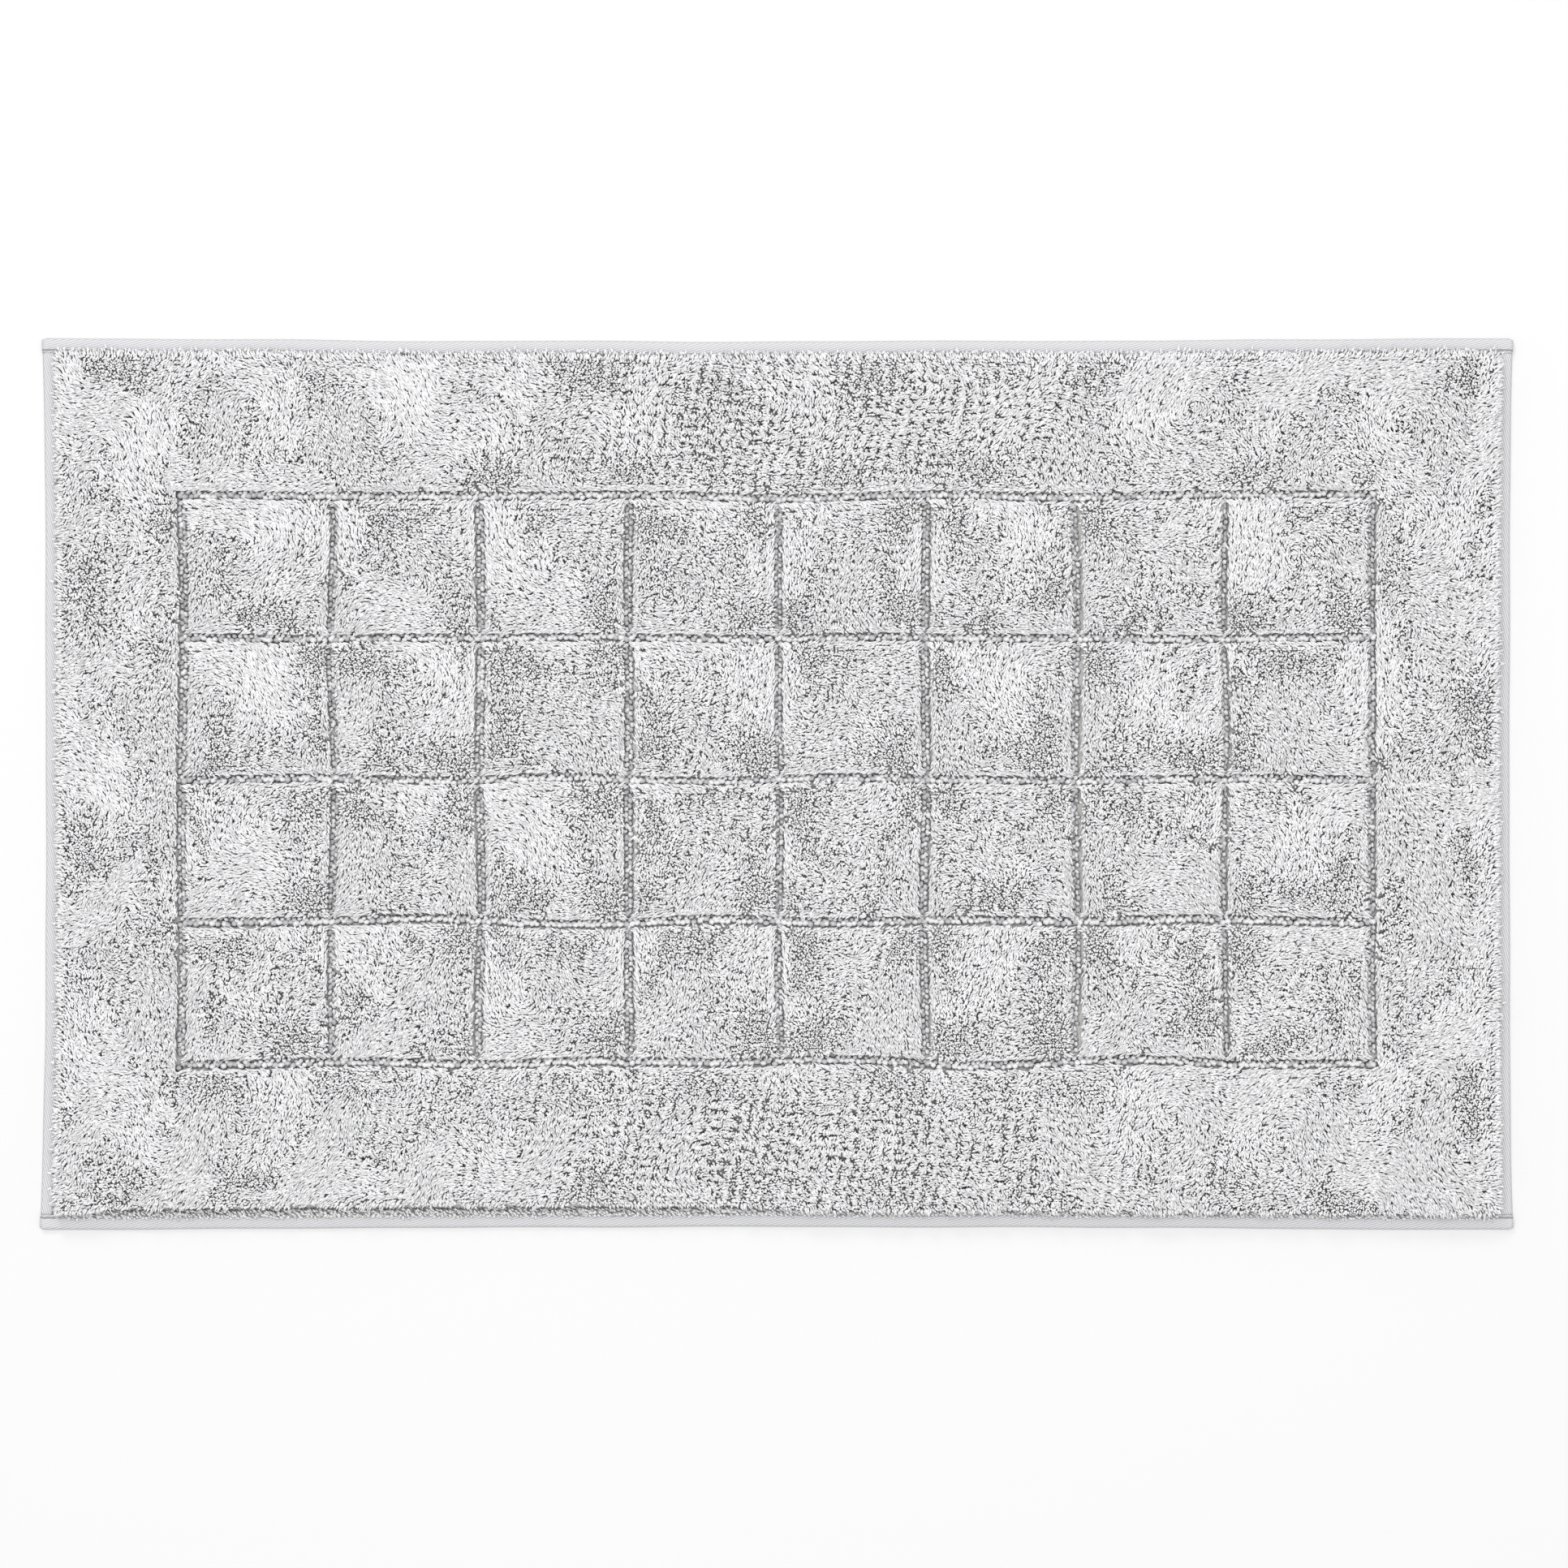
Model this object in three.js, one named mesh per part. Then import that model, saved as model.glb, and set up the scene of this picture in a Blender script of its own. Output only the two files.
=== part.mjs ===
// A tufted cotton bath mat with a sculpted middle.
//
// A thin latex coat lies under a woven backing cloth. Cut pile stands on the cloth, as a border field
// round the outside and a chequer of square pads inside it. Low rows of uncut loops run between the
// pads and frame them, which makes the sunken grid. Folded twill tape binds the four edges, and a row
// of stitches near its inner edge holds it.
//
// Millimetres, +Z up. The origin is the middle of the underside, and X is the long way of the mat.

import * as THREE from "three";

// Overall size.
const MAT_LENGTH = 1000;
const MAT_WIDTH = 605;
const MAT_HEIGHT = 18;

// Pieces that touch on the real mat are kept this far apart, so that each stays a separate solid.
const GAP = 0.3;

// Layers, from the floor up.
const COAT_THICKNESS = 1;
const CLOTH_THICKNESS = 1;
const CLOTH_BOTTOM = COAT_THICKNESS + GAP;
const PILE_BOTTOM = CLOTH_BOTTOM + CLOTH_THICKNESS + GAP;
const LOOP_HEIGHT = 9;

// The sunken grid: rows of loops between and around the pads.
const COLUMNS = 8;
const ROWS = 4;
const COLUMN_PITCH = 101.3;
const ROW_PITCH = 96.4;
const GRID_SHIFT = 3; // the grid sits a little nearer to the back edge
const LOOP_ROW_WIDTH = 6;

// Cut pile has soft shoulders.
const SHOULDER_DROP = 3;
const SHOULDER_INSET = 2.2;
const PILE_CORNER = 5;
const PILE_CORNER_STEPS = 2;

// Edge binding: a folded tape with one leg above the cloth and one below.
const TAPE_THICKNESS = 0.8;
const TAPE_LEG = 10;
const TAPE_FOLD_STEPS = 4;
const TAPE_TOP = PILE_BOTTOM + TAPE_THICKNESS;
const FOLD_CLEARANCE = 0.7; // from the inside of the fold to the cloth's edge

// Sewing thread, a low ridge on top of the tape.
const THREAD_WIDTH = 0.9;
const THREAD_HEIGHT = 0.5;
const STITCH_INSET = 8.2; // from the mat's edge to the stitch line
const TACK_END = 0.9; // a corner tack stops this far from the mat's edge

const LONG_SIDE_SPAN = MAT_LENGTH / 2;
const SHORT_SIDE_SPAN = MAT_WIDTH / 2;
const GRID_LENGTH = COLUMNS * COLUMN_PITCH + LOOP_ROW_WIDTH;
const GRID_WIDTH = ROWS * ROW_PITCH + LOOP_ROW_WIDTH;

function cotton(color, roughness) {
  return new THREE.MeshStandardMaterial({ color, roughness, metalness: 0 });
}

const pileYarn = cotton("#e6e7ea", 0.95);
const loopYarn = cotton("#d6d7da", 0.95);
const wovenCloth = cotton("#d9d8d2", 0.9);
const twillTape = cotton("#e3e3ea", 0.85);
const sewingThread = cotton("#dcdce2", 0.7);
const latex = cotton("#efece2", 0.6);

function piece(name, geometry, material) {
  const mesh = new THREE.Mesh(geometry, material);
  mesh.name = name;
  return mesh;
}

function latexCoat() {
  const inset = 2 * (TAPE_LEG + GAP);
  const coat = new THREE.BoxGeometry(MAT_LENGTH - inset, MAT_WIDTH - inset, COAT_THICKNESS);
  coat.translate(0, 0, COAT_THICKNESS / 2);
  return piece("latex_coat", coat, latex);
}

function backingCloth() {
  const inset = 2 * (TAPE_THICKNESS + FOLD_CLEARANCE);
  const cloth = new THREE.BoxGeometry(MAT_LENGTH - inset, MAT_WIDTH - inset, CLOTH_THICKNESS);
  cloth.translate(0, 0, CLOTH_BOTTOM + CLOTH_THICKNESS / 2);
  return piece("backing_cloth", cloth, wovenCloth);
}

// A rectangle about the origin with quarter-round corners.
function roundedRectangle(width, depth, corner) {
  const x = width / 2 - corner;
  const y = depth / 2 - corner;
  const outline = new THREE.Shape();
  outline.absarc(x, y, corner, 0, Math.PI / 2);
  outline.absarc(-x, y, corner, Math.PI / 2, Math.PI);
  outline.absarc(-x, -y, corner, Math.PI, 1.5 * Math.PI);
  outline.absarc(x, -y, corner, 1.5 * Math.PI, 2 * Math.PI);
  return outline;
}

// Cut pile between two corners of a rectangle on the cloth. Its foot and its shoulders draw in.
function cutPile(name, left, front, right, back) {
  const pile = new THREE.ExtrudeGeometry(roundedRectangle(right - left, back - front, PILE_CORNER), {
    depth: MAT_HEIGHT - PILE_BOTTOM - 2 * SHOULDER_DROP,
    bevelThickness: SHOULDER_DROP,
    bevelSize: SHOULDER_INSET,
    bevelOffset: -SHOULDER_INSET,
    bevelSegments: 1,
    curveSegments: PILE_CORNER_STEPS,
  });
  pile.translate(0, 0, PILE_BOTTOM + SHOULDER_DROP);
  const field = piece(name, pile, pileYarn);
  field.position.set((left + right) / 2, (front + back) / 2, 0);
  return field;
}

// The border is one band of pile round the grid, in four lengths that meet at the grid's corners.
function borderPile() {
  const outerX = LONG_SIDE_SPAN - TAPE_LEG - GAP;
  const outerY = SHORT_SIDE_SPAN - TAPE_LEG - GAP;
  const gridX = GRID_LENGTH / 2 + GAP;
  const gridFront = GRID_SHIFT - GRID_WIDTH / 2 - GAP;
  const gridBack = GRID_SHIFT + GRID_WIDTH / 2 + GAP;
  const border = new THREE.Group();
  border.add(cutPile("border_pile_front", -outerX, -outerY, outerX, gridFront));
  border.add(cutPile("border_pile_back", -outerX, gridBack, outerX, outerY));
  border.add(cutPile("border_pile_left", -outerX, gridFront + GAP, -gridX, gridBack - GAP));
  border.add(cutPile("border_pile_right", gridX, gridFront + GAP, outerX, gridBack - GAP));
  return border;
}

// Square pads of cut pile, one in each cell of the grid. Row 1 is at the front, column 1 at the left.
function pilePads() {
  const pads = new THREE.Group();
  pads.position.y = GRID_SHIFT;
  const halfX = (COLUMN_PITCH - LOOP_ROW_WIDTH) / 2 - GAP;
  const halfY = (ROW_PITCH - LOOP_ROW_WIDTH) / 2 - GAP;
  for (let row = 1; row <= ROWS; row += 1) {
    for (let column = 1; column <= COLUMNS; column += 1) {
      const x = (column - (COLUMNS + 1) / 2) * COLUMN_PITCH;
      const y = (row - (ROWS + 1) / 2) * ROW_PITCH;
      const name = `pile_pad_row${row}_column${column}`;
      pads.add(cutPile(name, x - halfX, y - halfY, x + halfX, y + halfY));
    }
  }
  return pads;
}

// A row of loops, seen from its side: half its height all along, and full height between crossings.
function loopRow(cells, pitch) {
  const end = (cells * pitch + LOOP_ROW_WIDTH) / 2;
  const lap = (LOOP_HEIGHT - GAP) / 2;
  const crossing = LOOP_ROW_WIDTH / 2 + GAP;
  const side = new THREE.Shape();
  side.moveTo(-end, lap);
  side.lineTo(-end, 0);
  side.lineTo(end, 0);
  side.lineTo(end, lap);
  for (let cell = cells; cell > 0; cell -= 1) {
    const right = (cell - cells / 2) * pitch - crossing;
    const left = right - pitch + 2 * crossing;
    side.lineTo(right, lap);
    side.lineTo(right, LOOP_HEIGHT);
    side.lineTo(left, LOOP_HEIGHT);
    side.lineTo(left, lap);
  }
  const row = new THREE.ExtrudeGeometry(side, { depth: LOOP_ROW_WIDTH, bevelEnabled: false });
  row.translate(0, 0, -LOOP_ROW_WIDTH / 2);
  row.rotateX(Math.PI / 2);
  return row;
}

// Crosswise rows lie under at each crossing, and lengthwise rows, the other way up, pass over them.
function loopGrid() {
  const grid = new THREE.Group();
  grid.position.set(0, GRID_SHIFT, PILE_BOTTOM);
  for (let column = 0; column <= COLUMNS; column += 1) {
    const under = loopRow(ROWS, ROW_PITCH).rotateZ(Math.PI / 2);
    const crosswise = piece(`loop_row_crosswise_${column + 1}`, under, loopYarn);
    crosswise.position.x = (column - COLUMNS / 2) * COLUMN_PITCH;
    grid.add(crosswise);
  }
  for (let row = 0; row <= ROWS; row += 1) {
    const over = loopRow(COLUMNS, COLUMN_PITCH).rotateX(Math.PI);
    const lengthwise = piece(`loop_row_lengthwise_${row + 1}`, over, loopYarn);
    lengthwise.position.set(0, (row - ROWS / 2) * ROW_PITCH, LOOP_HEIGHT);
    grid.add(lengthwise);
  }
  return grid;
}

// A folded tape as (distance in from the edge, height): the top leg, round the fold, the lower leg.
function tapeSection() {
  const outside = TAPE_TOP / 2;
  const inside = outside - TAPE_THICKNESS;
  const section = new THREE.Shape();
  section.moveTo(TAPE_LEG, TAPE_TOP);
  section.absarc(outside, outside, outside, Math.PI / 2, 1.5 * Math.PI);
  section.lineTo(TAPE_LEG, 0);
  section.lineTo(TAPE_LEG, TAPE_THICKNESS);
  section.absarc(outside, outside, inside, 1.5 * Math.PI, Math.PI / 2, true);
  section.lineTo(TAPE_LEG, TAPE_TOP - TAPE_THICKNESS);
  return section;
}

// The tape along the front edge, with its edge on the X axis.
function bindingTape(length) {
  const tape = new THREE.ExtrudeGeometry(tapeSection(), {
    depth: length,
    bevelEnabled: false,
    curveSegments: TAPE_FOLD_STEPS,
  });
  tape.translate(0, 0, -length / 2);
  const inward = new THREE.Vector3(0, 1, 0);
  const up = new THREE.Vector3(0, 0, 1);
  const along = new THREE.Vector3(1, 0, 0);
  return tape.applyMatrix4(new THREE.Matrix4().makeBasis(inward, up, along));
}

// The seam of a short side, which stops at the long tapes.
function shortSeam(length) {
  const seam = new THREE.BoxGeometry(length, THREAD_WIDTH, THREAD_HEIGHT);
  return seam.translate(0, STITCH_INSET, TAPE_TOP + GAP + THREAD_HEIGHT / 2);
}

// The seam of a long side, which turns at both ends and runs out across the tape as a corner tack.
function longSeam() {
  const outerX = LONG_SIDE_SPAN - STITCH_INSET + THREAD_WIDTH / 2;
  const innerX = outerX - THREAD_WIDTH;
  const farY = STITCH_INSET + THREAD_WIDTH / 2;
  const nearY = farY - THREAD_WIDTH;
  const outline = new THREE.Shape();
  outline.moveTo(-outerX, TACK_END);
  outline.lineTo(-innerX, TACK_END);
  outline.lineTo(-innerX, nearY);
  outline.lineTo(innerX, nearY);
  outline.lineTo(innerX, TACK_END);
  outline.lineTo(outerX, TACK_END);
  outline.lineTo(outerX, farY);
  outline.lineTo(-outerX, farY);
  const seam = new THREE.ExtrudeGeometry(outline, { depth: THREAD_HEIGHT, bevelEnabled: false });
  return seam.translate(0, 0, TAPE_TOP + GAP);
}

// One edge, made as the front edge and then turned by quarter turns to its place.
function boundEdge(edge, quarterTurns) {
  const long = quarterTurns % 2 === 0;
  const shortLength = MAT_WIDTH - 2 * (TAPE_LEG + GAP);
  const tape = piece(`binding_tape_${edge}`, bindingTape(long ? MAT_LENGTH : shortLength), twillTape);
  const thread = piece(`seam_thread_${edge}`, long ? longSeam() : shortSeam(shortLength), sewingThread);
  for (const mesh of [tape, thread]) {
    mesh.position.y = long ? -SHORT_SIDE_SPAN : -LONG_SIDE_SPAN;
  }
  const side = new THREE.Group();
  side.rotation.z = (quarterTurns * Math.PI) / 2;
  side.add(tape, thread);
  return side;
}

const mat = new THREE.Group();
mat.add(latexCoat(), backingCloth(), borderPile(), pilePads(), loopGrid());
["front", "right", "back", "left"].forEach((edge, quarterTurns) => {
  mat.add(boundEdge(edge, quarterTurns));
});

export default mat;
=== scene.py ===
"""A tufted cotton bath mat: cut pile round a grid of square pads, sunken loop rows, a bound edge."""
import math

import bmesh
import bpy
import numpy as np
from mathutils import Matrix, Vector


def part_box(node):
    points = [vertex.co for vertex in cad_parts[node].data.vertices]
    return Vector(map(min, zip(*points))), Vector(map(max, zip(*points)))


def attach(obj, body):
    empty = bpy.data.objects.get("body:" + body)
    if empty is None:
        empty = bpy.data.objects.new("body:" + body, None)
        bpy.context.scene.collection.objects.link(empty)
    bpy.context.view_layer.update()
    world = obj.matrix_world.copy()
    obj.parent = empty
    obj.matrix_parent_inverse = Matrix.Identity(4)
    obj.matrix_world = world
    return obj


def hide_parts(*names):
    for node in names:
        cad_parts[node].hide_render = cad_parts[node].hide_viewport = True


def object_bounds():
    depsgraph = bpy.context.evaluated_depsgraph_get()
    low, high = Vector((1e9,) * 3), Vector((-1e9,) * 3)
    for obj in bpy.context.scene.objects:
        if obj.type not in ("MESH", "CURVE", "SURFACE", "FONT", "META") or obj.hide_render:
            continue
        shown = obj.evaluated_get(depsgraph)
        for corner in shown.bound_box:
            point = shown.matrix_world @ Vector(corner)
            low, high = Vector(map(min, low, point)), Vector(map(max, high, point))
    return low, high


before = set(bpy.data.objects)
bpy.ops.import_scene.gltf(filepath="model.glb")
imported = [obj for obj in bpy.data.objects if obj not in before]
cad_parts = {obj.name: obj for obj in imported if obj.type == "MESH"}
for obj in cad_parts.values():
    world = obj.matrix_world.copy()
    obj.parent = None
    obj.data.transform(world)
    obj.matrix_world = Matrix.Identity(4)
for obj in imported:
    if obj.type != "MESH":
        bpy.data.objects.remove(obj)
cad_low, cad_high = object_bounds()


# ---- Backing cloth -----------------------------------------------------------------------------
# One layer of plain-woven, unbleached cotton canvas under the whole mat. Every tuft and loop is
# stitched through it, and its edges are caught inside the folded tapes. It shows only between rows.

MM = 0.001
half_length = cad_high.x
half_width = cad_high.y
GRID_STEP = 8 * MM  # fine enough for the cloth to follow the way the mat lies
CORNER_PULL = (2.4 * MM, 2.2 * MM)  # how far the tapes pull a corner out, along X and Y
FRONT_LEFT_PULL = 1.6 * MM  # and how much further out the front left one goes
WANDER_PATCH = 150 * MM
WANDER_AT_EDGE = 0.15 * MM  # how far a row strays where the tapes hold it
WANDER = 0.6 * MM  # and how much further in the middle


def ripple(x, y, size, seed, waves=18):
    """Smooth noise with patches about size across, and a usual height of 1."""
    chance = np.random.default_rng(seed)
    heading = chance.uniform(0, 2 * math.pi, waves)
    count = 2 * math.pi / size * chance.uniform(0.45, 1.25, waves)
    start = chance.uniform(0, 2 * math.pi, waves)
    total = np.zeros_like(x)
    for h, k, s in zip(heading, count, start):
        total += np.cos(k * (x * math.cos(h) + y * math.sin(h)) + s)
    return total * math.sqrt(2 / waves)


def as_it_lies(points):
    """The mat is not quite square: tape pulls the corners out, and rows wander a little."""
    x, y, z = points.T
    across = x / half_length
    along = y / half_width
    front_left = np.clip(-along, 0, 1) ** 2 * np.clip(-across, 0, 1)
    moved_x = across * along**4 * CORNER_PULL[0] - front_left * FRONT_LEFT_PULL
    moved_y = along * across**2 * CORNER_PULL[1]
    wander = WANDER_AT_EDGE + WANDER * (1 - across**6) * (1 - along**6)
    moved_x = moved_x + wander * ripple(x, y, WANDER_PATCH, 11)
    moved_y = moved_y + wander * ripple(x, y, WANDER_PATCH, 12)
    return np.stack([x + moved_x, y + moved_y, z], axis=1)


def settle(bm):
    """Moves a bmesh's points to the way the mat lies."""
    places = np.array([v.co for v in bm.verts])
    for vert, place in zip(bm.verts, as_it_lies(places)):
        vert.co = place


def linear(code):
    """An sRGB hex colour as linear RGBA."""
    parts = [int(code[i:i + 2], 16) / 255 for i in (1, 3, 5)]
    return [c / 12.92 if c <= 0.04045 else ((c + 0.055) / 1.055) ** 2.4 for c in parts] + [1.0]


def finish_named(name):
    """A new material, and its empty Principled shader."""
    material = bpy.data.materials.new(name)
    material.use_nodes = True
    return material, material.node_tree.nodes["Principled BSDF"]


def node(material, kind, inputs=(), stops=(), **settings):
    """Adds a shader node. inputs maps a socket's name or number to a value or to another output, and
    stops are the (place, hex colour) of a colour ramp."""
    made = material.node_tree.nodes.new(kind)
    for key, value in settings.items():
        setattr(made, key, value)
    for key, value in dict(inputs).items():
        feed(material, made.inputs[key], value)
    for i, (place, code) in enumerate(stops):
        if i == len(made.color_ramp.elements):
            made.color_ramp.elements.new(1.0)
        made.color_ramp.elements[i].position = place
        made.color_ramp.elements[i].color = linear(code)
    return made


def feed(material, socket, value):
    """Links an output to a socket, or sets its value."""
    if isinstance(value, bpy.types.NodeSocket):
        material.node_tree.links.new(value, socket)
    else:
        socket.default_value = value


def put_in_scene(name, bm, material, slot, *nodes):
    """Turns a bmesh into the piece that stands for those CAD nodes, on the mat's one body."""
    mesh = bpy.data.meshes.new(name)
    bm.to_mesh(mesh)
    bm.free()
    mesh.materials.append(material)
    piece = bpy.data.objects.new(name, mesh)
    bpy.context.scene.collection.objects.link(piece)
    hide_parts(*nodes)
    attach(piece, "root")
    return piece


def flat_layer(node_name):
    """A layer as wide as its CAD solid, in squares fine enough to follow the mat, and as thick."""
    low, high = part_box(node_name)
    size = high - low
    bm = bmesh.new()
    bmesh.ops.create_grid(
        bm,
        x_segments=round(size.x / GRID_STEP),
        y_segments=round(size.y / GRID_STEP),
        size=0.5,
    )
    middle = (low + high) / 2
    bmesh.ops.scale(bm, vec=(size.x, size.y, 1), verts=bm.verts)
    bmesh.ops.translate(bm, vec=(middle.x, middle.y, high.z), verts=bm.verts)
    settle(bm)
    bmesh.ops.solidify(bm, geom=bm.faces[:], thickness=size.z)
    return bm


CANVAS_THREAD = 1.1 * MM  # two of its real threads, which are too fine to show

canvas, shader = finish_named("unbleached_cotton_canvas_plain_woven")
where = node(canvas, "ShaderNodeTexCoord").outputs["Object"]
# Two sets of threads cross at right angles, so the cloth looks like a fine dull chequer.
warp = node(
    canvas,
    "ShaderNodeTexWave",
    {"Vector": where, "Scale": math.pi / 10 / CANVAS_THREAD, "Distortion": 0.6},
    bands_direction="X",
)
weft = node(
    canvas,
    "ShaderNodeTexWave",
    {"Vector": where, "Scale": math.pi / 10 / CANVAS_THREAD, "Distortion": 0.6},
    bands_direction="Y",
)
crossing = node(
    canvas, "ShaderNodeMath", {0: warp.outputs["Fac"], 1: weft.outputs["Fac"]}, operation="MULTIPLY"
)
chequer = node(
    canvas, "ShaderNodeValToRGB", {"Fac": crossing.outputs[0]}, stops=[(0, "#dad9d6"), (1, "#e8e7e4")]
)
feed(canvas, shader.inputs["Base Color"], chequer.outputs["Color"])
shader.inputs["Roughness"].default_value = 0.9
shader.inputs["Specular IOR Level"].default_value = 0.2

layer = flat_layer("backing_cloth")
backing = put_in_scene("backing_cloth_woven", layer, canvas, "backing_cloth", "backing_cloth")


# ---- Latex coat --------------------------------------------------------------------------------
# A thin coat of natural latex, brushed on the back and cured. It locks the tufts in the cloth and
# grips the floor, and the rows of stitched yarn show through it as low ribs.

RIB_PITCH = 4 * MM  # of the rows of stitches
RIB_BUMP = 0.35 * MM
MOTTLE = 9 * MM
BRUSH_GRAIN = 1.2 * MM

latex, shader = finish_named("natural_latex_brushed_on_canvas")
where = node(latex, "ShaderNodeTexCoord").outputs["Object"]
mottle = node(latex, "ShaderNodeTexNoise", {"Vector": where, "Scale": 1 / MOTTLE, "Detail": 5.0})
# Cream with slightly greyer, thinner places, as brushed latex has.
cream = node(
    latex, "ShaderNodeValToRGB", {"Fac": mottle.outputs["Fac"]}, stops=[(0.35, "#dcd8cb"), (0.65, "#ece9dd")]
)
feed(latex, shader.inputs["Base Color"], cream.outputs["Color"])
ribs = node(
    latex,
    "ShaderNodeTexWave",
    {"Vector": where, "Scale": math.pi / 10 / RIB_PITCH, "Distortion": 1.5, "Detail": 2.0},
    bands_direction="Y",
)
grain = node(latex, "ShaderNodeTexNoise", {"Vector": where, "Scale": 1 / BRUSH_GRAIN, "Detail": 3.0})
height = node(latex, "ShaderNodeMath", {0: ribs.outputs["Fac"], 1: grain.outputs["Fac"]}, operation="ADD")
bump = node(latex, "ShaderNodeBump", {"Height": height.outputs[0], "Distance": RIB_BUMP, "Strength": 0.7})
feed(latex, shader.inputs["Normal"], bump.outputs["Normal"])
shader.inputs["Roughness"].default_value = 0.55

layer = flat_layer("latex_coat")
coat = put_in_scene("latex_coat_cured", layer, latex, "latex_coat", "latex_coat")


# ---- Cut pile ----------------------------------------------------------------------------------
# Tufts of soft cotton yarn, stitched up through the cloth in close rows and sheared level. Each
# stands nearly 16 mm out of the cloth and leans with its neighbours, so the nap lies in swirls. At
# a loop row and at the outer edge the tufts have room, and fall over the edge.

# One drawn tuft stands for a few real ones, so it is coarser than they are.
TUFT_PITCH = 1.52 * MM
TUFT_WIDTH = 2.05 * MM
TUFT_JITTER = 0.2  # of the pitch
TUFT_WAIST = 0.66  # how far up its length a tuft is at its widest
GROOVE_MARGIN = 0.9 * MM  # the first row stands this far from a lengthwise loop row's space
SIDE_MARGIN = 1.1 * MM  # and this far from a crosswise one's
OUTER_MARGIN = 1.4 * MM  # and this far from a tape
FRONT_MARGIN = 1.8 * MM  # and this far from the front one
FRONT_CREEP = 3.6 * MM  # how much further in the pile starts at the front, to the left of the middle
EDGE_BAND = 6 * MM  # as far in as tufts fall over an edge
CALM_BAND = 34 * MM  # as far in as an edge turns the nap
STEEPEST = 1.42  # radians from upright at the tip
CURVE_STEPS = 8

pile_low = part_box("border_pile_front")[0]
pile_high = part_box("border_pile_back")[1]
grid_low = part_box("loop_row_lengthwise_1")[0]
grid_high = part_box("loop_row_lengthwise_5")[1]
cloth_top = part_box("backing_cloth")[1].z
pile_length = pile_high.z - cloth_top


def corners_of(bm):
    """The points and the triangles of a small bmesh, as arrays, to be copied many times."""
    bmesh.ops.recalc_face_normals(bm, faces=bm.faces)
    bmesh.ops.triangulate(bm, faces=bm.faces)
    bm.verts.index_update()
    places = np.array([v.co for v in bm.verts])
    corners = np.array([[v.index for v in f.verts] for f in bm.faces])
    bm.free()
    return places, corners


def many_alike(name, points, corners, materials, which, slot, *nodes):
    """One piece made of many small closed shapes. points has a row of places for each of them, and
    which has a row with the number of the material of each of its triangles."""
    count, size, _ = points.shape
    corners = (corners[None] + size * np.arange(count)[:, None, None]).reshape(-1, 3)
    mesh = bpy.data.meshes.new(name)
    mesh.vertices.add(count * size)
    mesh.vertices.foreach_set("co", as_it_lies(points.reshape(-1, 3)).ravel())
    mesh.loops.add(corners.size)
    mesh.loops.foreach_set("vertex_index", corners.ravel())
    mesh.polygons.add(len(corners))
    mesh.polygons.foreach_set("loop_start", np.arange(0, corners.size, 3))
    mesh.polygons.foreach_set("use_smooth", np.ones(len(corners), bool))
    for material in materials:
        mesh.materials.append(material)
    mesh.polygons.foreach_set("material_index", which.ravel())
    mesh.update(calc_edges=True)
    piece = bpy.data.objects.new(name, mesh)
    bpy.context.scene.collection.objects.link(piece)
    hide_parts(*nodes)
    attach(piece, "root")
    return piece


def yarn(name, colour, sheen):
    """Soft dull cotton, with the faint bloom that loose fibres give it."""
    material, shader = finish_named(name)
    shader.inputs["Base Color"].default_value = linear(colour)
    shader.inputs["Roughness"].default_value = 0.85
    shader.inputs["Specular IOR Level"].default_value = 0.15
    shader.inputs["Sheen Weight"].default_value = sheen
    shader.inputs["Sheen Roughness"].default_value = 0.5
    return material


bm = bmesh.new()
bmesh.ops.create_cone(bm, cap_ends=True, segments=3, radius1=0.5, radius2=0, depth=1 - TUFT_WAIST)
bmesh.ops.translate(bm, vec=(0, 0, (1 + TUFT_WAIST) / 2), verts=bm.verts)
underside = [f for f in bm.faces if f.normal.z < -0.9]
for root in bmesh.ops.poke(bm, faces=underside)["verts"]:
    root.co.z = 0
tuft_places, tuft_corners = corners_of(bm)
is_shaft = (tuft_places[tuft_corners, 2] == 0).any(axis=1)

# Combed cotton, bleached, cut and sheared. Little light comes back from down among the tufts, so
# their shafts are painted greyer than their ends, as painted shade, and no two yarns take the bleach
# quite alike.
cut_yarns = [
    yarn("cotton_yarn_cut_shafts_painted_shade", "#b9b9bb", 0.1),
    yarn("cotton_yarn_cut_ends_bleached_white", "#f5f5f6", 0.15),
    yarn("cotton_yarn_cut_ends_bleached_less", "#dfdfe0", 0.15),
]
LESS_BLEACHED = 0.3  # the share of the tufts


def rows_of_tufts(low, high):
    """Where the tufts stand in a rectangle: in staggered rows, each a little off its place."""
    row_pitch = TUFT_PITCH * math.sqrt(3) / 2
    rows = np.arange(math.ceil(low[1] / row_pitch), math.floor(high[1] / row_pitch) + 1)
    columns = np.arange(math.ceil(low[0] / TUFT_PITCH), math.floor(high[0] / TUFT_PITCH) + 1)
    y, x = np.meshgrid(rows, columns, indexing="ij")
    x = (x + 0.5 * (y % 2)).ravel() * TUFT_PITCH
    y = y.ravel() * row_pitch
    stray = np.random.default_rng(len(x)).uniform(-TUFT_JITTER, TUFT_JITTER, (2, len(x)))
    return x + stray[0] * TUFT_PITCH, y + stray[1] * TUFT_PITCH


def swirl(x, y, size, seed, waves=20):
    """Smooth directions that turn in patches about size across, and never part or meet."""
    chance = np.random.default_rng(seed)
    total = np.zeros((2, len(x)))
    for _ in range(waves):
        heading = chance.uniform(0, 2 * math.pi)
        count = 2 * math.pi / size * chance.uniform(0.45, 1.25)
        along = np.array([math.cos(heading), math.sin(heading)])
        push = np.cos(count * (x * along[0] + y * along[1]) + chance.uniform(0, 2 * math.pi))
        total += np.array([-along[1], along[0]])[:, None] * push
    return total * math.sqrt(2 / waves)


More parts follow.
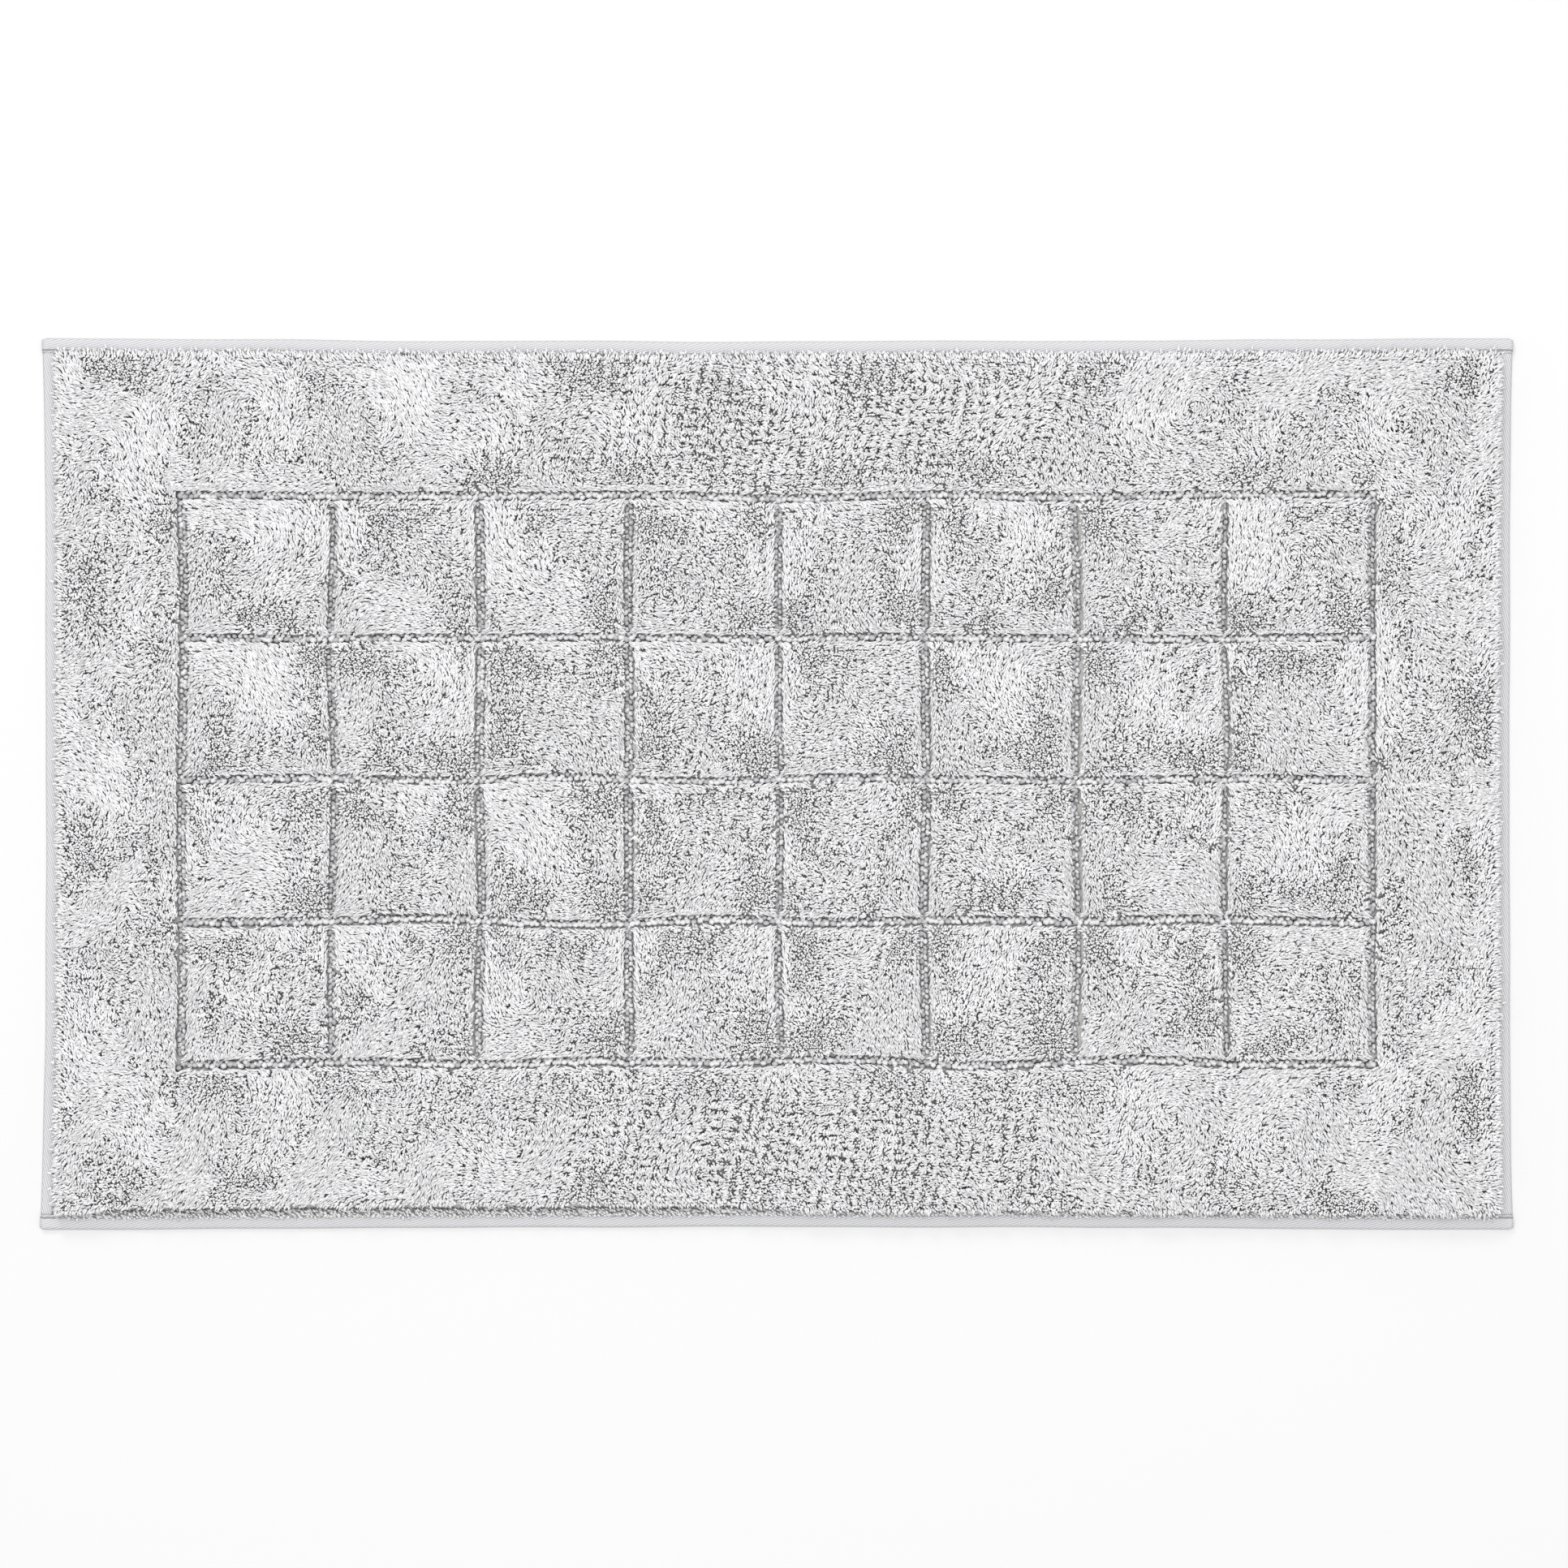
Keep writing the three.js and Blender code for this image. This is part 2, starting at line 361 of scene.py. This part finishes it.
def smooth_step(t):
    """From 0 to 1 as t goes from 0 to 1, with no corner at either end."""
    t = np.clip(t, 0, 1)
    return t * t * (3 - 2 * t)


NAP_SWIRLS = ((75 * MM, 1, 21), (21 * MM, 0.3, 22), (6 * MM, 0.24, 23))  # size, weight and seed
USUAL_LEAN = 0.92  # radians from upright at the tip
FLUFFED_UP = 0.13  # how much less that is in the middle
FLUFFED_UP_BORDER = 0.15  # and less again in the middle of the front and back border
FLUFFED_MIDDLE = 25 * MM  # along X
WHORL_LEAN = 0.35  # below this share of the usual swirl a tuft stands up, as the heart of a whorl does
LOCK_SIZE = 6.5 * MM
LOCK_LEAN = 0.18  # how far the tufts of a lock lean together
LOCK_LEAN_BORDER = 0.22  # and how much further where the border is fluffed up


def nap(x, y):
    """The lean that use and brushing leave, as radians from upright at the tip, along X and Y."""
    lean = sum(weight * swirl(x, y, size, seed) for size, weight, seed in NAP_SWIRLS)
    # The middle is stood on most, and has been fluffed up. The nap lies flattest towards the ends.
    middle = smooth_step(1.15 - np.abs(x - FLUFFED_MIDDLE) / (0.5 * half_length))
    border = smooth_step((np.abs(y) - grid_high.y - 4 * MM) / (20 * MM))
    strength = USUAL_LEAN - (FLUFFED_UP + FLUFFED_UP_BORDER * border) * middle
    strength += 0.06 * ripple(x, y, 45 * MM, 24)
    lean *= strength / np.maximum(np.hypot(*lean), WHORL_LEAN) ** 0.9
    # Neighbours cling together in small locks. A swirl turned by a right angle draws tips together.
    locks = swirl(x, y, LOCK_SIZE, 26)[::-1] * np.array([[1], [-1]])
    return lean + locks * (LOCK_LEAN + LOCK_LEAN_BORDER * border * middle)


def fall_over_edges(x, y, lean, edges):
    """Turns the nap at each edge. edges are (distance in, out along X and Y, lean out, lean along)."""
    for inward, out_x, out_y, strength, sideways in edges:
        outward = lean[0] * out_x + lean[1] * out_y
        along = lean[1] * out_x - lean[0] * out_y
        # Tufts near an edge don't lean inwards, and the last few lie along it and a little over it.
        last = smooth_step(1.2 * (1 - inward / EDGE_BAND))
        wanted = outward - np.minimum(outward, 0) * smooth_step(1.3 * (1 - inward / CALM_BAND))
        wanted += (strength - wanted) * last
        wanted_along = along + (sideways * np.tanh(5 * along) - along) * last
        lean = np.stack([
            lean[0] + out_x * (wanted - outward) - out_y * (wanted_along - along),
            lean[1] + out_y * (wanted - outward) + out_x * (wanted_along - along),
        ])
    return lean


UPRIGHT = 0.06  # how far a tuft leans already at its root, as a share of its lean at the tip
ODD_LEAN = 0.2  # radians by which a tuft leans differently from its neighbours
LENGTH_RIPPLE = 0.02  # how unevenly the pile is sheared, as a share of its length
SHEAR_PATCH = 25 * MM


def cotton_pile(name, x, y, lean, length, flatness, *nodes):
    """One piece of pile, from where its tufts stand, how they lean, and how long and flat they are."""
    count = len(x)
    chance = np.random.default_rng(count)
    lean = lean + chance.normal(0, ODD_LEAN, (2, count))
    bend = np.clip(np.hypot(*lean), 0.02, STEEPEST)
    heading = np.arctan2(lean[1], lean[0])
    roll = chance.uniform(0, 2 * math.pi, count)
    thick = TUFT_WIDTH * chance.uniform(0.85, 1.15, count)
    length = length * chance.uniform(0.96, 1.03, count)
    points = np.zeros((count, len(tuft_places), 3))
    for i, (px, py, pz) in enumerate(tuft_places):
        # A tuft bends more and more towards its tip, and keeps its length along the curve.
        part = (np.arange(CURVE_STEPS) + 0.5)[:, None] / CURVE_STEPS * pz
        tilt = bend * (flatness + (1 - flatness) * part**3)
        reach = pz * length * np.sin(tilt).mean(0)
        rise = pz * length * np.cos(tilt).mean(0)
        tip_tilt = bend * (flatness + (1 - flatness) * pz**3)
        side = thick * (px * np.cos(roll) - py * np.sin(roll))
        ahead = thick * (px * np.sin(roll) + py * np.cos(roll))
        out = reach + ahead * np.cos(tip_tilt)
        points[:, i, 0] = x + out * np.cos(heading) - side * np.sin(heading)
        points[:, i, 1] = y + out * np.sin(heading) + side * np.cos(heading)
        points[:, i, 2] = cloth_top + rise - ahead * np.sin(tip_tilt)
    ends = 1 + (chance.uniform(0, 1, count) < LESS_BLEACHED)
    # The shafts take the grey of painted shade, and the ends one of two bleached tones.
    which = np.where(is_shaft, 0, ends[:, None])
    return many_alike(name, points, tuft_corners, cut_yarns, which, "pile_yarn", *nodes)


# How far the last tufts lean out over an edge and along it, in radians from upright at the tip.
OVER_CROSSWISE = (0.4, 1.25)
OVER_LENGTHWISE = (0.5, 1.25)
OVER_TAPE = (0.8, 0.3)

# Square pads, one in each cell of the grid.
for name in sorted(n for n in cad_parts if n.startswith("pile_pad_")):
    low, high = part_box(name)
    room = Vector((SIDE_MARGIN, GROOVE_MARGIN, 0))
    x, y = rows_of_tufts(low + room, high - room)
    edges = [
        (x - low.x - SIDE_MARGIN, -1, 0, *OVER_CROSSWISE),
        (high.x - SIDE_MARGIN - x, 1, 0, *OVER_CROSSWISE),
        (y - low.y - GROOVE_MARGIN, 0, -1, *OVER_LENGTHWISE),
        (high.y - GROOVE_MARGIN - y, 0, 1, *OVER_LENGTHWISE),
    ]
    lean = fall_over_edges(x, y, nap(x, y), edges)
    length = pile_length * (1 + LENGTH_RIPPLE * ripple(x, y, SHEAR_PATCH, 41))
    cotton_pile(name + "_tufts", x, y, lean, length, UPRIGHT, name)

# The border, planted in one go and then shared out between its lengths.
x, y = rows_of_tufts(
    (pile_low.x + OUTER_MARGIN, pile_low.y + FRONT_MARGIN),
    (pile_high.x - OUTER_MARGIN, pile_high.y - OUTER_MARGIN),
)
beyond_x = np.maximum(np.maximum(grid_low.x - x, x - grid_high.x), 0)
beyond_y = np.maximum(np.maximum(grid_low.y - y, y - grid_high.y), 0)
# At the front the tape has crept a few millimetres under the pile, most of all to the left.
crept = FRONT_CREEP * smooth_step((0.1 * half_length - x) / (0.25 * half_length))
crept *= smooth_step((x - pile_low.x - 12 * MM) / (30 * MM))
front_line = pile_low.y + FRONT_MARGIN + crept
outside = (np.hypot(beyond_x, beyond_y) > GROOVE_MARGIN) & (y > front_line)
x, y, front_line = x[outside], y[outside], front_line[outside]
beyond_x, beyond_y = beyond_x[outside], beyond_y[outside]
to_grid = np.hypot(beyond_x, beyond_y)
to_grid_x = -np.sign(x) * beyond_x / to_grid
to_grid_y = -np.sign(y) * beyond_y / to_grid
ragged = 0.45 + 0.3 * ripple(x, y, 14 * MM, 25)
edges = [
    (to_grid - GROOVE_MARGIN, to_grid_x, to_grid_y, *OVER_LENGTHWISE),
    (x - pile_low.x - OUTER_MARGIN, -1, 0, *OVER_TAPE),
    (pile_high.x - OUTER_MARGIN - x, 1, 0, *OVER_TAPE),
    (pile_high.y - OUTER_MARGIN - y, 0, 1, *OVER_TAPE),
    (y - front_line, 0, -1, ragged, OVER_TAPE[1]),
]
lean = fall_over_edges(x, y, nap(x, y), edges)
length = pile_length * (1 + LENGTH_RIPPLE * ripple(x, y, SHEAR_PATCH, 41))
flatness = np.full(len(x), UPRIGHT)

# Under the front edge three rows of short tufts have been pressed flat, out and to the right.
PRESSED_LENGTH = 7.5 * MM
PRESSED_PITCH = 1.5 * MM
PRESSED_LEAN = (1.1, -0.75)
PRESSED_FLAT = 0.8  # share of that lean that they have at the root
press_x = np.arange(pile_low.x + 4 * MM, pile_high.x - 4 * MM, PRESSED_PITCH)
chance = np.random.default_rng(51)
for row in (0.6 * MM, 2.2 * MM, 3.8 * MM):
    count = len(press_x)
    x = np.append(x, press_x + chance.uniform(-0.6, 0.6, count) * MM)
    y = np.append(y, pile_low.y + row + chance.uniform(-0.5, 0.5, count) * MM)
    press_lean = np.stack([mean + chance.normal(0, 0.15, count) for mean in PRESSED_LEAN])
    lean = np.append(lean, press_lean, axis=1)
    length = np.append(length, np.full(count, PRESSED_LENGTH))
    flatness = np.append(flatness, np.full(count, PRESSED_FLAT))

# At the other three edges shorter tufts fan out over the tape, and close the side of the pile.
FRINGE_PITCH = 1.5 * MM
FRINGE_ROWS = ((3.5 * MM, 6 * MM, 1.1), (5 * MM, 9 * MM, 0.9), (8 * MM, 13 * MM, 0.75))
FRINGE_FLAT = 0.45
fringe_x = np.arange(pile_low.x + 2 * MM, pile_high.x - 2 * MM, FRINGE_PITCH)
fringe_y = np.arange(pile_low.y + 6 * MM, pile_high.y - 2 * MM, FRINGE_PITCH)
for shortest, longest, usual_lean in FRINGE_ROWS:
    for line, out_x, out_y in (
        (pile_low.x + OUTER_MARGIN, -1, 0),
        (pile_high.x - OUTER_MARGIN, 1, 0),
        (pile_high.y - OUTER_MARGIN, 0, 1),
    ):
        along = fringe_y if out_x else fringe_x
        count = len(along)
        along = along + chance.uniform(-0.6, 0.6, count) * MM
        across = np.full(count, line) + chance.uniform(-0.4, 0.4, count) * MM
        x = np.append(x, across if out_x else along)
        y = np.append(y, along if out_x else across)
        fan_out = chance.normal(usual_lean, 0.15, count)
        fan_along = chance.normal(0, 0.35, count)
        fan = np.stack([out_x * fan_out + out_y * fan_along, out_y * fan_out + out_x * fan_along])
        lean = np.append(lean, fan, axis=1)
        length = np.append(length, chance.uniform(shortest, longest, count))
        flatness = np.append(flatness, np.full(count, FRINGE_FLAT))

in_front = y < grid_low.y
behind = y > grid_high.y
beside = ~in_front & ~behind
lengths = [
    ("border_front_left_tufts", in_front & (x < 0), "border_pile_front"),
    ("border_front_right_tufts", in_front & (x >= 0), "border_pile_front"),
    ("border_back_left_tufts", behind & (x < 0), "border_pile_back"),
    ("border_back_right_tufts", behind & (x >= 0), "border_pile_back"),
    ("border_left_tufts", beside & (x < 0), "border_pile_left"),
    ("border_right_tufts", beside & (x >= 0), "border_pile_right"),
]
for name, here, node_name in lengths:
    pile = cotton_pile(name, x[here], y[here], lean[:, here], length[here], flatness[here], node_name)


# ---- Loop rows ---------------------------------------------------------------------------------
# The same yarn left uncut. It is stitched in low loops, each one stitch long and all running from
# the front to the back, so a crosswise row is two columns of them and a lengthwise row is two deep.

LOOP_YARN = 3.9 * MM  # as thick as the few strands that it is plied from
LOOP_SPAN = 2.3 * MM  # between the middles of a loop's two legs
loop_height = grid_high.z - cloth_top

bm = bmesh.new()
bmesh.ops.create_circle(
    bm, segments=5, radius=LOOP_YARN / 2, matrix=Matrix.Translation((0, LOOP_SPAN / 2, 0))
)
bmesh.ops.spin(
    bm, geom=bm.verts[:] + bm.edges[:], cent=(0, 0, 0), axis=(1, 0, 0), angle=math.pi, steps=4
)
bmesh.ops.holes_fill(bm, edges=bm.edges, sides=0)
loop_places, loop_corners = corners_of(bm)
loop_places[:, 2] /= loop_places[:, 2].max()
is_leg = loop_places[loop_corners, 2].mean(axis=1) < 0.5

# The same yarn, twisted and uncut. The loops touch, so their legs are painted dark as painted shade,
# and their tops are not. Some tops take a greyer tone: at random, and more where a row lies deep, as
# painted shade.
looped_yarns = [
    yarn("cotton_yarn_looped_legs_painted_shade", "#9c9c9f", 0.1),
    yarn("cotton_yarn_looped_tops_bleached_white", "#f1f1f2", 0.1),
    yarn("cotton_yarn_looped_tops_less_bleached_and_shaded", "#cbcbcd", 0.1),
]


def looped_row(name, x, y, slant, width, length, height, whiteness):
    """One row of loops, from each one's place, slant in radians, width and length as a share of the
    usual ones, and height, and from the share of them that are white."""
    count = len(x)
    points = np.zeros((count, len(loop_places), 3))
    for i, (px, py, pz) in enumerate(loop_places):
        points[:, i, 0] = x + px * width * np.cos(slant) - py * length * np.sin(slant)
        points[:, i, 1] = y + px * width * np.sin(slant) + py * length * np.cos(slant)
        points[:, i, 2] = cloth_top + pz * height
    tops = 1 + (np.random.default_rng(count).uniform(0, 1, count) > whiteness)
    # The legs take the grey of painted shade, and the tops one of two tones.
    which = np.where(is_leg, 0, tops[:, None])
    piece = many_alike(name + "_loops", points, loop_corners, looped_yarns, which, "loop_yarn", name)


LENGTHWISE_STEP = 3.8 * MM
CROSSWISE_STEP = 3.7 * MM
COLUMN_OFFSET = 1.4 * MM
FRONT_ROW_OFFSET = 0.7 * MM
BACK_ROW_OFFSET = 1.6 * MM
BACK_ROW_SIZE = 0.72  # the back row of a lengthwise pair is half hidden, and its loops are smaller
chance = np.random.default_rng(61)
lengthwise = sorted(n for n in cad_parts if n.startswith("loop_row_lengthwise_"))
crosswise = sorted(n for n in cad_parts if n.startswith("loop_row_crosswise_"))
for name in lengthwise:
    low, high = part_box(name)
    middle = (low.y + high.y) / 2
    first = np.arange(low.x + 1.6 * MM, high.x - 1.4 * MM, LENGTHWISE_STEP)
    second = first + LENGTHWISE_STEP / 2
    x = np.append(first, second)
    y = np.append(
        np.full(len(first), middle - FRONT_ROW_OFFSET), np.full(len(second), middle + BACK_ROW_OFFSET)
    )
    count = len(x)
    big = np.append(np.ones(len(first)), np.full(len(second), BACK_ROW_SIZE))
    looped_row(
        name,
        x=x + chance.normal(0, 0.3, count) * MM,
        y=y + chance.normal(0, 0.6, count) * MM,
        slant=0.4 + 0.4 * ripple(x, y, 30 * MM, 62) + chance.normal(0, 0.4, count),
        width=1.15 * big * chance.uniform(0.85, 1.2, count),
        length=0.95 * big * chance.uniform(0.8, 1.15, count),
        height=loop_height * (0.85 + 0.25 * big) * chance.uniform(0.68, 1.14, count),
        whiteness=0.7,
    )
for name in crosswise:
    low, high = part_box(name)
    middle = (low.x + high.x) / 2
    y = np.arange(low.y + 2 * MM, high.y - 2 * MM, CROSSWISE_STEP)
    for other in lengthwise:
        other_low, other_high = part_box(other)
        y = y[(y < other_low.y - 0.5 * MM) | (y > other_high.y + 1.5 * MM)]
    x = np.append(np.full(len(y), middle - COLUMN_OFFSET), np.full(len(y), middle + COLUMN_OFFSET))
    y = np.append(y, y + CROSSWISE_STEP / 2)
    count = len(x)
    # These loops lie deeper between their pads than the lengthwise ones, so more of their tops take the
    # greyer colour, as painted shade.
    looped_row(
        name,
        x=x + chance.normal(0, 0.4, count) * MM,
        y=y + chance.normal(0, 0.3, count) * MM,
        slant=0.55 * np.sign(x - middle) + chance.normal(0, 0.45, count),
        width=0.86 * chance.uniform(0.65, 1.2, count),
        length=0.86 * chance.uniform(0.8, 1.2, count),
        height=0.66 * loop_height * chance.uniform(0.6, 1.35, count),
        whiteness=0.5,
    )


# ---- Binding tapes -----------------------------------------------------------------------------
# Four lengths of bleached cotton twill tape, folded over the cut edge of the cloth and sewn through
# both legs. The two long tapes cover the ends of the short ones, and a tack holds each corner.

TAPE_CLOTH = 0.7 * MM
TWILL_PITCH = 1.5 * MM  # three of the tape's real ribs, which are too fine to show
TWILL_DEPTH = 0.25 * MM
TWILL_LEAN = 0.3  # how far a rib runs across the tape for each unit along it
TAPE_STEP = 2.5 * MM
ACROSS_STEPS = 16
STITCH_INSET = 8.2 * MM
STITCH_PULL = 0.5 * MM  # how deep the thread pulls the tape in
STITCH_PULL_REACH = 1.3 * MM  # and how far to either side
SWELL = 0.35 * MM  # between the fold and the stitches
PUCKER = 0.2 * MM
WAVER = 0.25 * MM  # how far the edge strays from straight
OVERLAP_RISE = 0.5 * MM  # where a long tape covers a short one
OVERLAP_LENGTH = 14 * MM
CORNER_ROUND = 1.6 * MM

twill, shader = finish_named("bleached_cotton_twill_tape")
strip = node(twill, "ShaderNodeUVMap", uv_map="cut_strip").outputs["UV"]
turned = node(twill, "ShaderNodeMapping", {"Vector": strip, "Rotation": (0, 0, -math.atan(TWILL_LEAN))})
slanted = turned.outputs["Vector"]
ribs = node(
    twill,
    "ShaderNodeTexWave",
    {"Vector": slanted, "Scale": math.pi / 10 / TWILL_PITCH, "Distortion": 0.8, "Detail": 1.0},
    bands_direction="Y",
)
# Between two ribs the tape is painted a little greyer, as painted shade in the groove, so it looks
# finely ruled at a slant.
lines = node(
    twill,
    "ShaderNodeValToRGB",
    {"Fac": ribs.outputs["Fac"]},
    stops=[(0.0, "#b4b4b7"), (0.4, "#cdcdd0"), (1.0, "#d8d8db")],
)
# The thread pulls a narrow crease into the tape, and a darker line is painted along it as painted
# shade in the crease.
SEAM_ON_STRIP = 8.6 * MM  # from the middle of the strip to the needle holes
CREASE_WIDTH = 0.7 * MM
apart = node(twill, "ShaderNodeSeparateXYZ", {"Vector": strip})
from_fold = node(twill, "ShaderNodeMath", {0: apart.outputs["Y"]}, operation="ABSOLUTE")
crease_shade_mask = node(
    twill,
    "ShaderNodeMath",
    {0: from_fold.outputs[0], 1: SEAM_ON_STRIP, 2: CREASE_WIDTH},
    operation="COMPARE",
)
crease_shaded = node(
    twill,
    "ShaderNodeMix",
    {"Factor": crease_shade_mask.outputs[0], 6: lines.outputs["Color"], 7: linear("#96969a")},
    data_type="RGBA",
)
feed(twill, shader.inputs["Base Color"], crease_shaded.outputs[2])
bump = node(
    twill, "ShaderNodeBump", {"Height": ribs.outputs["Fac"], "Distance": TWILL_DEPTH, "Strength": 0.6}
)
feed(twill, shader.inputs["Normal"], bump.outputs["Normal"])
shader.inputs["Roughness"].default_value = 0.8
shader.inputs["Specular IOR Level"].default_value = 0.2


def edge_place(node_name, along, inward, z):
    """A place given along an edge and inwards from it, for the tape or the thread of that edge."""
    if node_name.endswith("front"):
        return (along, cad_low.y + inward, z)
    if node_name.endswith("back"):
        return (along, cad_high.y - inward, z)
    if node_name.endswith("left"):
        return (cad_low.x + inward, along, z)
    return (cad_high.x - inward, along, z)


for name in sorted(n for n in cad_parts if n.startswith("binding_tape_")):
    low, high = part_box(name)
    is_long = name.endswith(("front", "back"))
    reach = high.x if is_long else high.y
    leg = min(high.x - low.x, high.y - low.y)
    fold = (high.z - low.z - TAPE_CLOTH) / 2
    outside = (high.z - low.z) / 2
    flat_leg = leg - outside
    half_strip = flat_leg + fold * math.pi / 2
    # The tape is sewn on in one go round the mat, so its ribs slant the same way seen from outside.
    way_round = 1 if name.endswith(("front", "right")) else -1
    bm = bmesh.new()
    layer = bm.loops.layers.uv.new("cut_strip")
    bmesh.ops.create_grid(bm, x_segments=round(2 * reach / TAPE_STEP), y_segments=ACROSS_STEPS, size=0.5)
    for face in bm.faces:
        for corner in face.loops:
            place = corner.vert.co
            corner[layer].uv = (place.x * 2 * reach * way_round, place.y * 2 * half_strip)
    for vert in bm.verts:
        along = vert.co.x * 2 * reach
        across = vert.co.y * 2 * half_strip
        if abs(across) < fold * math.pi / 2:
            inward = outside * (1 - math.cos(across / fold))
            up = outside * math.sin(across / fold)
        else:
            inward = abs(across) - fold * math.pi / 2 + outside
            # The stitches pull the tape in, and above it swells a little on either side of them.
            pulled = STITCH_PULL * max(0, 1 - abs(inward - STITCH_INSET) / STITCH_PULL_REACH)
            up = math.copysign(outside - pulled, across)
            if across > 0:
                up += SWELL * math.sin(math.pi * min(inward / STITCH_INSET, 1))
                up += PUCKER * math.sin(along / (7 * MM)) * math.sin(along / (17 * MM))
        inward += WAVER * math.sin(along / (23 * MM)) * math.sin(along / (71 * MM))
        if is_long:
            past = max(0, abs(along) - reach + CORNER_ROUND) / CORNER_ROUND
            cut_back = CORNER_ROUND * (1 - math.sqrt(max(0, 1 - 0.9 * past**2)))
            inward += cut_back * max(0, 1 - inward / leg)
            if across > 0:
                up += OVERLAP_RISE * smooth_step((abs(along) - reach + OVERLAP_LENGTH) / (6 * MM))
        vert.co = edge_place(name, along, inward, (low.z + high.z) / 2 + up)
    settle(bm)
    if name.endswith(("back", "left")):
        bmesh.ops.reverse_faces(bm, faces=bm.faces[:])
    bm.normal_update()
    bmesh.ops.solidify(bm, geom=bm.faces[:], thickness=TAPE_CLOTH)
    for face in bm.faces:
        face.smooth = True
    tape = put_in_scene(name + "_folded", bm, twill, "binding_tape", name)


# ---- Seam threads ------------------------------------------------------------------------------
# White polyester thread in a lockstitch along each tape near its inner edge. On the long tapes it
# also runs across the tape at both ends, and so tacks the corners.

STITCH = 3.6 * MM
STITCH_LENGTH = 3.3 * MM
STITCH_WIDTH = 0.75 * MM
STITCH_HEIGHT = 0.55 * MM
TACK_STITCHES = 2

thread, shader = finish_named("spun_polyester_thread_sewn")
# The white thread is painted grey, as painted shade where it sinks into the tape.
shader.inputs["Base Color"].default_value = linear("#cdcdd1")
shader.inputs["Roughness"].default_value = 0.6

bm = bmesh.new()
bmesh.ops.create_uvsphere(bm, u_segments=6, v_segments=4, radius=0.5)
stitch_places, stitch_corners = corners_of(bm)

for name in sorted(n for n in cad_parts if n.startswith("seam_thread_")):
    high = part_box(name)[1]
    is_long = name.endswith(("front", "back"))
    reach = high.x if is_long else high.y
    tape_low, tape_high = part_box(name.replace("seam_thread", "binding_tape"))
    stitches = [(a, STITCH_INSET, 0) for a in np.arange(-reach + STITCH, reach - STITCH / 2, STITCH)]
    if is_long:
        for end in (-reach + STITCH_WIDTH / 2, reach - STITCH_WIDTH / 2):
            stitches += [(end, STITCH_INSET - STITCH * (i + 0.5), 1) for i in range(TACK_STITCHES)]
    points = []
    for along, inward, turned_in in stitches:
        # Each stitch shows under the tape and on top of it, and a tack lies over the thicker corner.
        for z in (tape_low.z + 0.3 * MM, tape_high.z - 0.1 * MM):
            if turned_in and z > tape_low.z + MM:
                z += 0.6 * MM
            for px, py, pz in stitch_places:
                run, side = px * STITCH_LENGTH, py * STITCH_WIDTH
                if turned_in:
                    run, side = side, run
                points.append(edge_place(name, along + run, inward + side, z + pz * STITCH_HEIGHT))
    points = np.array(points).reshape(-1, len(stitch_places), 3)
    which = np.zeros((len(points), len(stitch_corners)), int)
    many_alike(name + "_stitches", points, stitch_corners, [thread], which, "sewing_thread", name)


# ---- Floor, light and camera -------------------------------------------------------------------
# Not part of the mat. It lies on matt white paper, under a wide soft lamp straight above and a
# smaller one behind it to the left, and a long lens looks straight down on it.

FLOOR_REACH = 6
floor_bm = bmesh.new()
bmesh.ops.create_grid(floor_bm, x_segments=1, y_segments=1, size=FLOOR_REACH)
floor_mesh = bpy.data.meshes.new("floor")
floor_bm.to_mesh(floor_mesh)
floor_bm.free()
paper, shader = finish_named("white_paper_matt")
shader.inputs["Base Color"].default_value = linear("#e2e2e2")
shader.inputs["Roughness"].default_value = 0.9
floor_mesh.materials.append(paper)
floor = bpy.data.objects.new("floor", floor_mesh)
bpy.context.scene.collection.objects.link(floor)

world = bpy.data.worlds.new("studio")
world.use_nodes = True
world.node_tree.nodes["Background"].inputs["Color"].default_value = linear("#ffffff")
world.node_tree.nodes["Background"].inputs["Strength"].default_value = 0.62
bpy.context.scene.world = world

for name, size, energy, place in (
    ("overhead", 4.0, 164, Vector((0, 0.4, 5.0))),
    ("key", 1.4, 60, Vector((-1.5, 4.0, 3.7))),
):
    light = bpy.data.lights.new(name, "AREA")
    light.shape = "DISK"
    light.size = size
    light.energy = energy
    lamp = bpy.data.objects.new(name, light)
    bpy.context.scene.collection.objects.link(lamp)
    lamp.location = place
    lamp.rotation_euler = (-place).to_track_quat("-Z", "Y").to_euler()

bpy.context.scene.view_settings.view_transform = "Standard"

LENS = 100
VIEW_WIDTH = 1.0721  # metres of floor across the frame
VIEW_MIDDLE = 4.4 * MM  # along X
camera_data = bpy.data.cameras.new("camera")
camera_data.lens = LENS
camera = bpy.data.objects.new("camera", camera_data)
bpy.context.scene.collection.objects.link(camera)
camera.location = (VIEW_MIDDLE, 0, VIEW_WIDTH * LENS / camera_data.sensor_width)
bpy.context.scene.camera = camera
